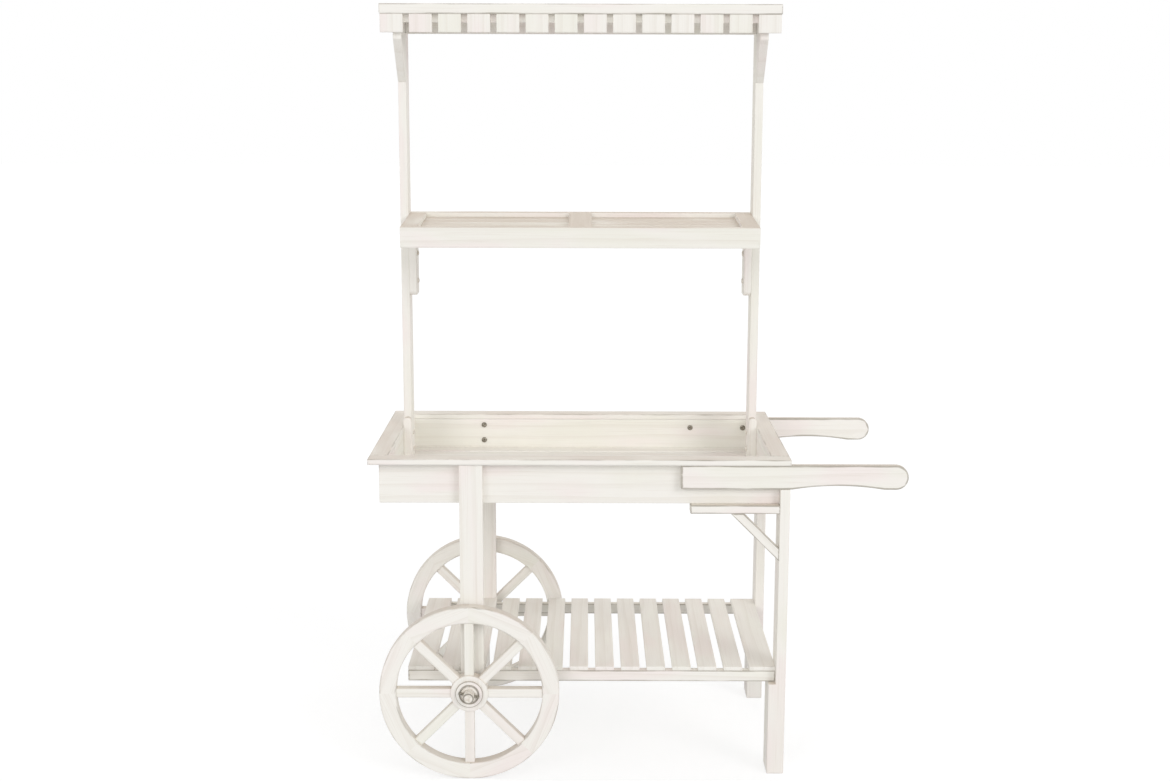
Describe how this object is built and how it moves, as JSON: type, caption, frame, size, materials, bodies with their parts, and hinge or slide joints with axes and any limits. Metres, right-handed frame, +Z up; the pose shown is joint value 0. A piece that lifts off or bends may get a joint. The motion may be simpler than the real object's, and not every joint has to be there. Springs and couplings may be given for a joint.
{
  "type": "flower cart stand",
  "caption": "Free-standing wooden flower cart with a slatted tray, push handles, spoked wheels, legs, a lower deck, a tilted shelf and a small roof on two posts.",
  "frame": {"origin": "middle of the overall box, on the ground", "axes": "+X along the handles, away from the wheels; +Y towards the back, where the posts stand; +Z up"},
  "size_m": [1.2714, 0.708, 1.836],
  "materials": {
    "whitewashed_wood": "matte",
    "dark_steel": "satin"
  },
  "bodies": {
    "cart": {"axle": "whitewashed_wood", "axle_pins": "dark_steel", "back_axle_collar": "whitewashed_wood", "back_axle_spacer": "whitewashed_wood", "back_bearer": "whitewashed_wood", "back_brace": "whitewashed_wood", "back_deck_rail": "whitewashed_wood", "back_handle": "whitewashed_wood", "back_leg": "whitewashed_wood", "back_rim_board": "whitewashed_wood", "back_tray_wall": "whitewashed_wood", "back_upright": "whitewashed_wood", "deck_slats": "whitewashed_wood", "front_axle_collar": "whitewashed_wood", "front_axle_spacer": "whitewashed_wood", "front_bearer": "whitewashed_wood", "front_brace": "whitewashed_wood", "front_deck_rail": "whitewashed_wood", "front_handle": "whitewashed_wood", "front_leg": "whitewashed_wood", "front_rim_board": "whitewashed_wood", "front_tray_wall": "whitewashed_wood", "front_upright": "whitewashed_wood", "handle_screws": "dark_steel", "left_post": "whitewashed_wood", "left_post_cleat": "whitewashed_wood", "left_rim_board": "whitewashed_wood", "left_roof_bracket": "whitewashed_wood", "left_shelf_cleat": "whitewashed_wood", "left_tray_end": "whitewashed_wood", "leg_screws": "dark_steel", "post_screws": "dark_steel", "right_post": "whitewashed_wood", "right_post_cleat": "whitewashed_wood", "right_rim_board": "whitewashed_wood", "right_roof_bracket": "whitewashed_wood", "right_shelf_cleat": "whitewashed_wood", "right_tray_end": "whitewashed_wood", "roof_board": "whitewashed_wood", "roof_nailing_strip": "whitewashed_wood", "roof_pickets": "whitewashed_wood", "roof_rail": "whitewashed_wood", "shelf_back_board": "whitewashed_wood", "shelf_battens": "whitewashed_wood", "shelf_bearers": "whitewashed_wood", "shelf_cleat_screws": "dark_steel", "shelf_front_board": "whitewashed_wood", "shelf_slats": "whitewashed_wood", "tray_floor_bearers": "whitewashed_wood", "tray_floor_slats": "whitewashed_wood", "upright_screws": "dark_steel"},
    "front_wheel": {"front_wheel_rim": "whitewashed_wood", "front_wheel_hub": "whitewashed_wood", "front_wheel_boss": "whitewashed_wood", "front_wheel_spokes": "whitewashed_wood"},
    "back_wheel": {"back_wheel_rim": "whitewashed_wood", "back_wheel_hub": "whitewashed_wood", "back_wheel_boss": "whitewashed_wood", "back_wheel_spokes": "whitewashed_wood"}
  },
  "joints": [
    {"name": "front_wheel_spin", "type": "hinge", "parent": "cart", "child": "front_wheel", "pos_m": [-0.40025, -0.306, 0.215], "axis": [0, 1, 0], "continuous": true},
    {"name": "back_wheel_spin", "type": "hinge", "parent": "cart", "child": "back_wheel", "pos_m": [-0.40025, 0.306, 0.215], "axis": [0, 1, 0], "continuous": true}
  ]
}
